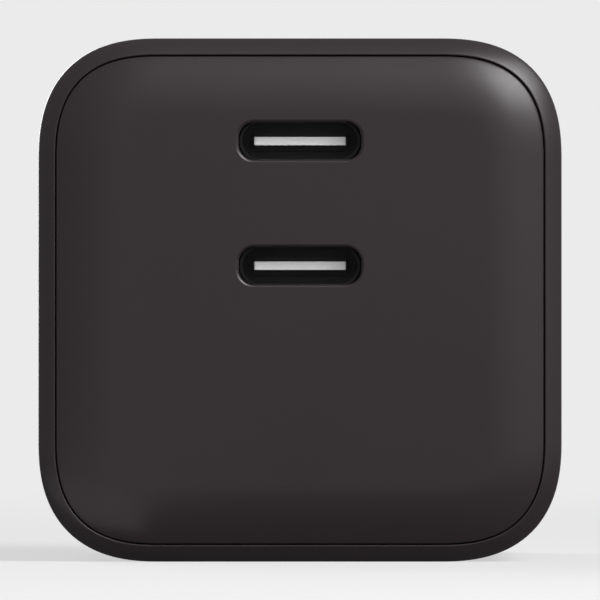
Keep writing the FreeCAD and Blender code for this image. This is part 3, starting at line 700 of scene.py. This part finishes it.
# Chip resin is a dull black grey, and the sleeves are a pale grey film, shrunk tight, with an even sheen.
resin_grain = 0.1 * mm
sleeve_grain = 0.8 * mm
chip_resin = grained_finish("moulded_chip_resin", "#1E1E1F", "#262627", roughness=0.5, gloss=0.4,
                            grain=resin_grain, relief=0.3)
can_sleeve = grained_finish("shrunk_can_sleeve", "#9EA0A4", "#A9ABAF", roughness=0.3, gloss=0.5,
                            grain=sleeve_grain, relief=0.08)
paint(chip_resin, "bridge_rectifier", "gan_switch", "primary_controller", "optocoupler", "rectifier_mosfet",
      "protocol_controller")
paint(can_sleeve, "bulk_capacitor_front", "bulk_capacitor_rear", "output_capacitor_left",
      "output_capacitor_right")


# Receptacles: each is a drawn steel sleeve in black nickel, closed at the back by a moulded black block with
# a pale tongue. Gold strips are let into both faces of the tongue, and four tabs go through the port board.
ports = ("upper", "lower")
shell_boxes = {port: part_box(f"{port}_port_shell") for port in ports}
port_heights = {port: (low.z + high.z) / 2 for port, (low, high) in shell_boxes.items()}
shell_low, shell_high = shell_boxes["upper"]
shell_width = shell_high.x - shell_low.x
shell_height = shell_high.z - shell_low.z
shell_thickness = 0.3 * mm
shell_edge = 0.1 * mm
slot_end_segments = 20
slot_edge_steps = 4
shell_front_y = shell_low.y
port_board_front_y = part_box("protocol_controller")[1].y
tab_width = 0.9 * mm
tab_inset = 1.9 * mm
insulator_length = 2.6 * mm
tongue_width = 6.69 * mm
tongue_thickness = 0.62 * mm
tongue_root_thickness = 1.3 * mm
tongue_root_length = 0.9 * mm
tongue_edge = 0.05 * mm
tongue_edge_segments = 3
tongue_corner = 0.12 * mm
tongue_corner_segments = 4


def slot_bar(name, width, height, y_from, y_to, z, edge=0.0):
    """Closed bar with a slot-shaped section, running back from y_from to y_to, its front edge rounded."""
    bar = flat_face(name, width, height, (0, y_from + edge, z), towards_front)
    bpy.ops.mesh.bevel(offset=height / 2, affect="VERTICES", segments=slot_end_segments)
    bpy.ops.mesh.remove_doubles(threshold=merge_distance)
    push(0, y_to - y_from - edge, 0)
    bpy.ops.mesh.select_all(action="SELECT")
    bpy.ops.mesh.normals_make_consistent(inside=False)
    if edge:
        pick("faces", lambda face: face.normal.y < -square_on)
        carry(arc_steps(edge, 0, pi / 2, slot_edge_steps))
    settle()
    return bar


def bar(name, width, height, y_from, y_to, x, z):
    """Closed square bar running back from y_from to y_to."""
    piece = flat_face(name, width, height, (x, y_from, z), towards_front)
    push(0, y_to - y_from, 0)
    settle()
    return piece


def port_sleeve(port):
    """Drawn steel sleeve of one receptacle."""
    z = port_heights[port]
    sleeve = slot_bar(f"{port}_port_sleeve", shell_width, shell_height, shell_front_y, port_board_front_y, z,
                      shell_edge)
    hollow = slot_bar("hollow", shell_width - 2 * shell_thickness, shell_height - 2 * shell_thickness,
                      shell_front_y - sunk, port_board_front_y + sunk, z)
    combine(sleeve, hollow, "DIFFERENCE")
    for side in (-1, 1):
        for end in (-1, 1):
            tab = bar("tab", tab_width, shell_thickness, port_board_front_y - sunk, port_board_back_y,
                      side * (shell_width / 2 - tab_inset), z + end * (shell_height - shell_thickness) / 2)
            combine(sleeve, tab, "UNION")
    smooth(sleeve)
    return sleeve


def copy_of(node):
    """A merged copy of a CAD node, to cut with."""
    take_up(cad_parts[node])
    bpy.ops.object.duplicate()
    bpy.ops.mesh.customdata_custom_splitnormals_clear()
    bpy.ops.object.mode_set(mode="EDIT")
    settle()
    return bpy.context.object


def port_tongue(port):
    """Moulded block that closes the back of one sleeve, with its tongue moulded round the contacts."""
    z = port_heights[port]
    tip_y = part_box(f"{port}_port_insulator")[0].y
    block_y = port_board_front_y - insulator_length
    root_y = block_y - tongue_root_length
    block = slot_bar(f"{port}_port_tongue", shell_width - 2 * shell_thickness,
                     shell_height - 2 * shell_thickness, block_y, port_board_front_y, z)
    root = bar("root", tongue_width, tongue_root_thickness, root_y, block_y + sunk, 0, z)
    combine(block, root, "UNION")
    tongue = flat_face("tongue", tongue_width, tongue_thickness, (0, root_y + sunk, z), towards_front)
    push(0, tip_y - root_y - sunk, 0)
    pick("edges", lambda edge: runs_along(edge, "z") and edge.verts[0].co.y < tip_y + merge_distance)
    bpy.ops.mesh.bevel(offset=tongue_corner, affect="EDGES", segments=tongue_corner_segments)
    settle()
    soften(tongue, tongue_edge, tongue_edge_segments)
    combine(block, tongue, "UNION")
    combine(block, copy_of(f"{port}_port_contacts"), "DIFFERENCE")
    smooth(block)
    return block


# Black nickel on drawn steel: nearly black, with a soft metallic sheen. The block is dull black liquid
# crystal polymer, and the tongue the same polymer left pale, with an even, milky look. The contacts have a
# bright flash of gold.
drawing_line = 0.1 * mm
polymer_grain = 0.12 * mm
black_nickel = worked_metal("black_nickel_on_steel", "#1A1A1B", "#222223", roughness=0.45, line=drawing_line,
                            along="y")
black_polymer = grained_finish("black_liquid_crystal_polymer", "#1E1E1F", "#242425", roughness=0.5, gloss=0.4,
                               grain=polymer_grain, relief=0.1)
pale_polymer = grained_finish("pale_liquid_crystal_polymer", "#E4E4E4", "#EAEAEA", roughness=0.4, gloss=0.4,
                              grain=polymer_grain, relief=0.08)
gold = worked_metal("gold_flash", "#D9B25A", "#EBC878", roughness=0.25, line=drawing_line, along="y")

for port in ports:
    dress(port_sleeve(port), black_nickel, "body", f"{port}_port_shell")
    tongue = port_tongue(port)
    dress(tongue, black_polymer, "body", f"{port}_port_insulator")
    tongue.data.materials.append(pale_polymer)
    root_front_y = port_board_front_y - insulator_length - tongue_root_length
    for face in tongue.data.polygons:
        face.material_index = int(face.center.y < root_front_y - merge_distance)
    paint(gold, f"{port}_port_contacts")


# Front panel: a pillowed cover moulded in the same polycarbonate, flat in the middle and rolling away to the
# groove round it. It drops into the rim on a skirt, and its two slots line up with the receptacles behind it.
panel_edge_radius = 0.17 * mm
panel_edge_steps = 4
roll_steps = 16
skirt_clearance = 0.08 * mm
skirt_inset = wall + skirt_clearance
skirt_thickness = 1.1 * mm
skirt_height = 2.6 * mm
opening_width = 8.9 * mm
opening_height = 2.7 * mm
opening_corner = 1.1 * mm
opening_lip = 0.95 * mm
pocket_clearance = 0.08 * mm

edge_heading = acos((pillow_width - panel_edge_radius) / (roll_radius - panel_edge_radius))
panel_top_y = front_y + roll_radius * (1 - sin(edge_heading)) + panel_edge_radius * sin(edge_heading)

panel = body_outline("front_panel", ledge_y)
carry([(panel_inset, 0)])
bpy.ops.mesh.select_all(action="INVERT")
bpy.ops.mesh.delete(type="FACE")
bpy.ops.mesh.select_all(action="SELECT")
push(0, panel_top_y - ledge_y, 0)
carry(arc_steps(panel_edge_radius, 0, edge_heading, panel_edge_steps))
carry(arc_steps(roll_radius, edge_heading, pi / 2, roll_steps))
bpy.ops.mesh.select_all(action="SELECT")
bpy.ops.mesh.normals_make_consistent(inside=False)
pick("faces", lambda face: face.normal.y > square_on)
carry([(skirt_inset - panel_inset, 0)])
push(0, skirt_height, 0)
carry([(skirt_thickness, 0)])
push(0, -skirt_height, 0)
settle()

for z in port_heights.values():
    mouth = mouth_cutter("mouth", opening_width, opening_height, opening_corner, (0, front_y, z),
                         towards_front, panel_thickness + cutter_margin)
    combine(panel, mouth, "DIFFERENCE")
    pocket = slot_bar("pocket", shell_width + 2 * pocket_clearance, shell_height + 2 * pocket_clearance,
                      front_y + opening_lip, ledge_y + cutter_margin, z)
    combine(panel, pocket, "DIFFERENCE")
smooth(panel)
dress(panel, satin_case, "body", "front_cover")


# Floor: a pale sheet under the object. Far away it shows the plain colour of the backdrop, and near the
# object a share of it is lit paint, which holds the soft shadow. Bounced light meets a greyer paint.
backdrop = "#EBEBEB"
floor_colour = "#BEBEBE"
floor_bounce = "#808080"
floor_reach = 3.0
shadow_radius = 0.08
fade_radius = 0.5
shadow_share = 0.3
contact_share = 0.8
middle = Vector((0, (front_y + back_y) / 2, 0))
bpy.ops.mesh.primitive_plane_add(size=2 * floor_reach, location=(0, middle.y, housing_low.z))
floor = bpy.context.object
floor.name = "floor"

floor_paint = new_material("floor_paint")
rays = add_node(floor_paint, "ShaderNodeLightPath", {})
place = add_node(floor_paint, "ShaderNodeTexCoord", {})
away = add_node(floor_paint, "ShaderNodeVectorMath", {0: place.outputs["Object"]}, operation="LENGTH")
mirrored = add_node(floor_paint, "ShaderNodeMath",
                    {0: rays.outputs["Is Glossy Ray"], 1: rays.outputs["Is Transmission Ray"]},
                    operation="MAXIMUM")
glow_shares = []
for seen, share in ((rays.outputs["Is Camera Ray"], shadow_share), (mirrored.outputs[0], contact_share)):
    fade = add_node(floor_paint, "ShaderNodeMapRange",
                    {"Value": away.outputs["Value"], "From Min": shadow_radius, "From Max": fade_radius,
                     "To Min": 1 - share, "To Max": 1.0}, interpolation_type="SMOOTHSTEP")
    glow_shares.append(add_node(floor_paint, "ShaderNodeMath", {0: seen, 1: fade.outputs["Result"]},
                                operation="MULTIPLY"))
glow_share = add_node(floor_paint, "ShaderNodeMath",
                      {0: glow_shares[0].outputs[0], 1: glow_shares[1].outputs[0]}, operation="ADD")
tone = add_node(floor_paint, "ShaderNodeMix",
                {0: rays.outputs["Is Camera Ray"], 6: linear(floor_bounce), 7: linear(floor_colour)},
                data_type="RGBA")
matt = add_node(floor_paint, "ShaderNodeBsdfDiffuse", {"Color": tone.outputs[2]})
glow = add_node(floor_paint, "ShaderNodeEmission", {"Color": linear(backdrop), "Strength": 1.0})
surface = add_node(floor_paint, "ShaderNodeMixShader",
                   {0: glow_share.outputs[0], 1: matt.outputs[0], 2: glow.outputs[0]})
add_node(floor_paint, "ShaderNodeOutputMaterial", {"Surface": surface.outputs[0]})
floor.data.materials.append(floor_paint)


# Surroundings: a plain dim room that lights the object evenly from all sides. To the camera and in
# reflections it shows as the pale backdrop.
room_colour = "#FFFFFF"
room_light = 0.05
world = bpy.data.worlds.new("studio")
bpy.context.scene.world = world
world.use_nodes = True
world.node_tree.nodes.clear()
rays = add_node(world, "ShaderNodeLightPath", {})
seen = add_node(world, "ShaderNodeMath",
                {0: rays.outputs["Is Camera Ray"], 1: rays.outputs["Is Glossy Ray"]}, operation="MAXIMUM")
seen = add_node(world, "ShaderNodeMath",
                {0: seen.outputs[0], 1: rays.outputs["Is Transmission Ray"]}, operation="MAXIMUM")
room = add_node(world, "ShaderNodeBackground", {"Color": linear(room_colour), "Strength": room_light})
shown = add_node(world, "ShaderNodeBackground", {"Color": linear(backdrop), "Strength": 1.0})
mixed = add_node(world, "ShaderNodeMixShader", {0: seen.outputs[0], 1: room.outputs[0], 2: shown.outputs[0]})
add_node(world, "ShaderNodeOutputWorld", {"Surface": mixed.outputs[0]})


# Lamps: a broad key high on the right, of four square panels and a weak near one, whose reflection fills the
# top right corner of the front and fades along two edges. A wide fill that reflections don't show lights the
# tongues, a small lamp flat on the floor lifts the lower left corner like a card, and one lights the back.


def area_lamp(name, place, aim, size, power):
    """A square soft lamp at a place, shining along a direction and hidden from the camera."""
    bpy.ops.object.light_add(type="AREA", location=place)
    lamp = bpy.context.object
    lamp.name = name
    lamp.rotation_euler = aim.to_track_quat("-Z", "Y").to_euler()
    lamp.data.size = size
    lamp.data.energy = power
    lamp.visible_camera = False
    return lamp


def softbox(name, off_axis, turn, distance, size, power):
    """A lamp aimed at the middle of the object.

    off_axis is the angle from straight in front and turn the angle from right towards top, in degrees.
    """
    tilt = radians(off_axis)
    swing = radians(turn)
    offset = Vector((sin(tilt) * cos(swing), -cos(tilt), sin(tilt) * sin(swing))) * distance
    return area_lamp(name, middle + offset, -offset, size, power)


key_distance = 0.6
key_size = 0.3
wing_size = 0.26
softbox("key", off_axis=47, turn=45, distance=key_distance, size=key_size, power=3.15)
softbox("key_upper", off_axis=49, turn=61, distance=key_distance, size=wing_size, power=1.5)
softbox("key_side", off_axis=57, turn=25, distance=key_distance, size=wing_size, power=0.45)
softbox("key_edge", off_axis=67, turn=45, distance=key_distance, size=wing_size, power=1.7)

glow_distance = 0.22
glow_size = 0.15
softbox("key_glow", off_axis=31, turn=50, distance=glow_distance, size=glow_size, power=0.055)

fill_distance = 1.4
fill_size = 0.9
fill = softbox("front_fill", off_axis=12, turn=90, distance=fill_distance, size=fill_size, power=5.0)
fill.visible_glossy = False

card_size = 36.0 * mm
card_left = 29.5 * mm
card_before_front = 19.5 * mm
card_above_floor = 0.5 * mm
card_place = Vector((-card_left, front_y - card_before_front, housing_low.z + card_above_floor))
area_lamp("floor_card", card_place, aim=Vector((0, 0, 1)), size=card_size, power=0.0032)

back_distance = 0.9
back_size = 0.6
softbox("behind", off_axis=144, turn=145, distance=back_distance, size=back_size, power=11.0)


# Camera: a long lens straight in front, level with the middle of the body, so that the sides hide behind the
# rim. It frames the front as large as the photograph does.
photo_pixels = 600
body_pixels = 523.35
camera_distance = 1.2
sensor_width = 36.0
bpy.ops.object.camera_add(location=(0, side_front_y - camera_distance, 0), rotation=towards_front)
camera = bpy.context.object
camera.data.sensor_width = sensor_width
camera.data.lens = sensor_width * camera_distance * body_pixels / (body_side * photo_pixels)
bpy.context.scene.camera = camera
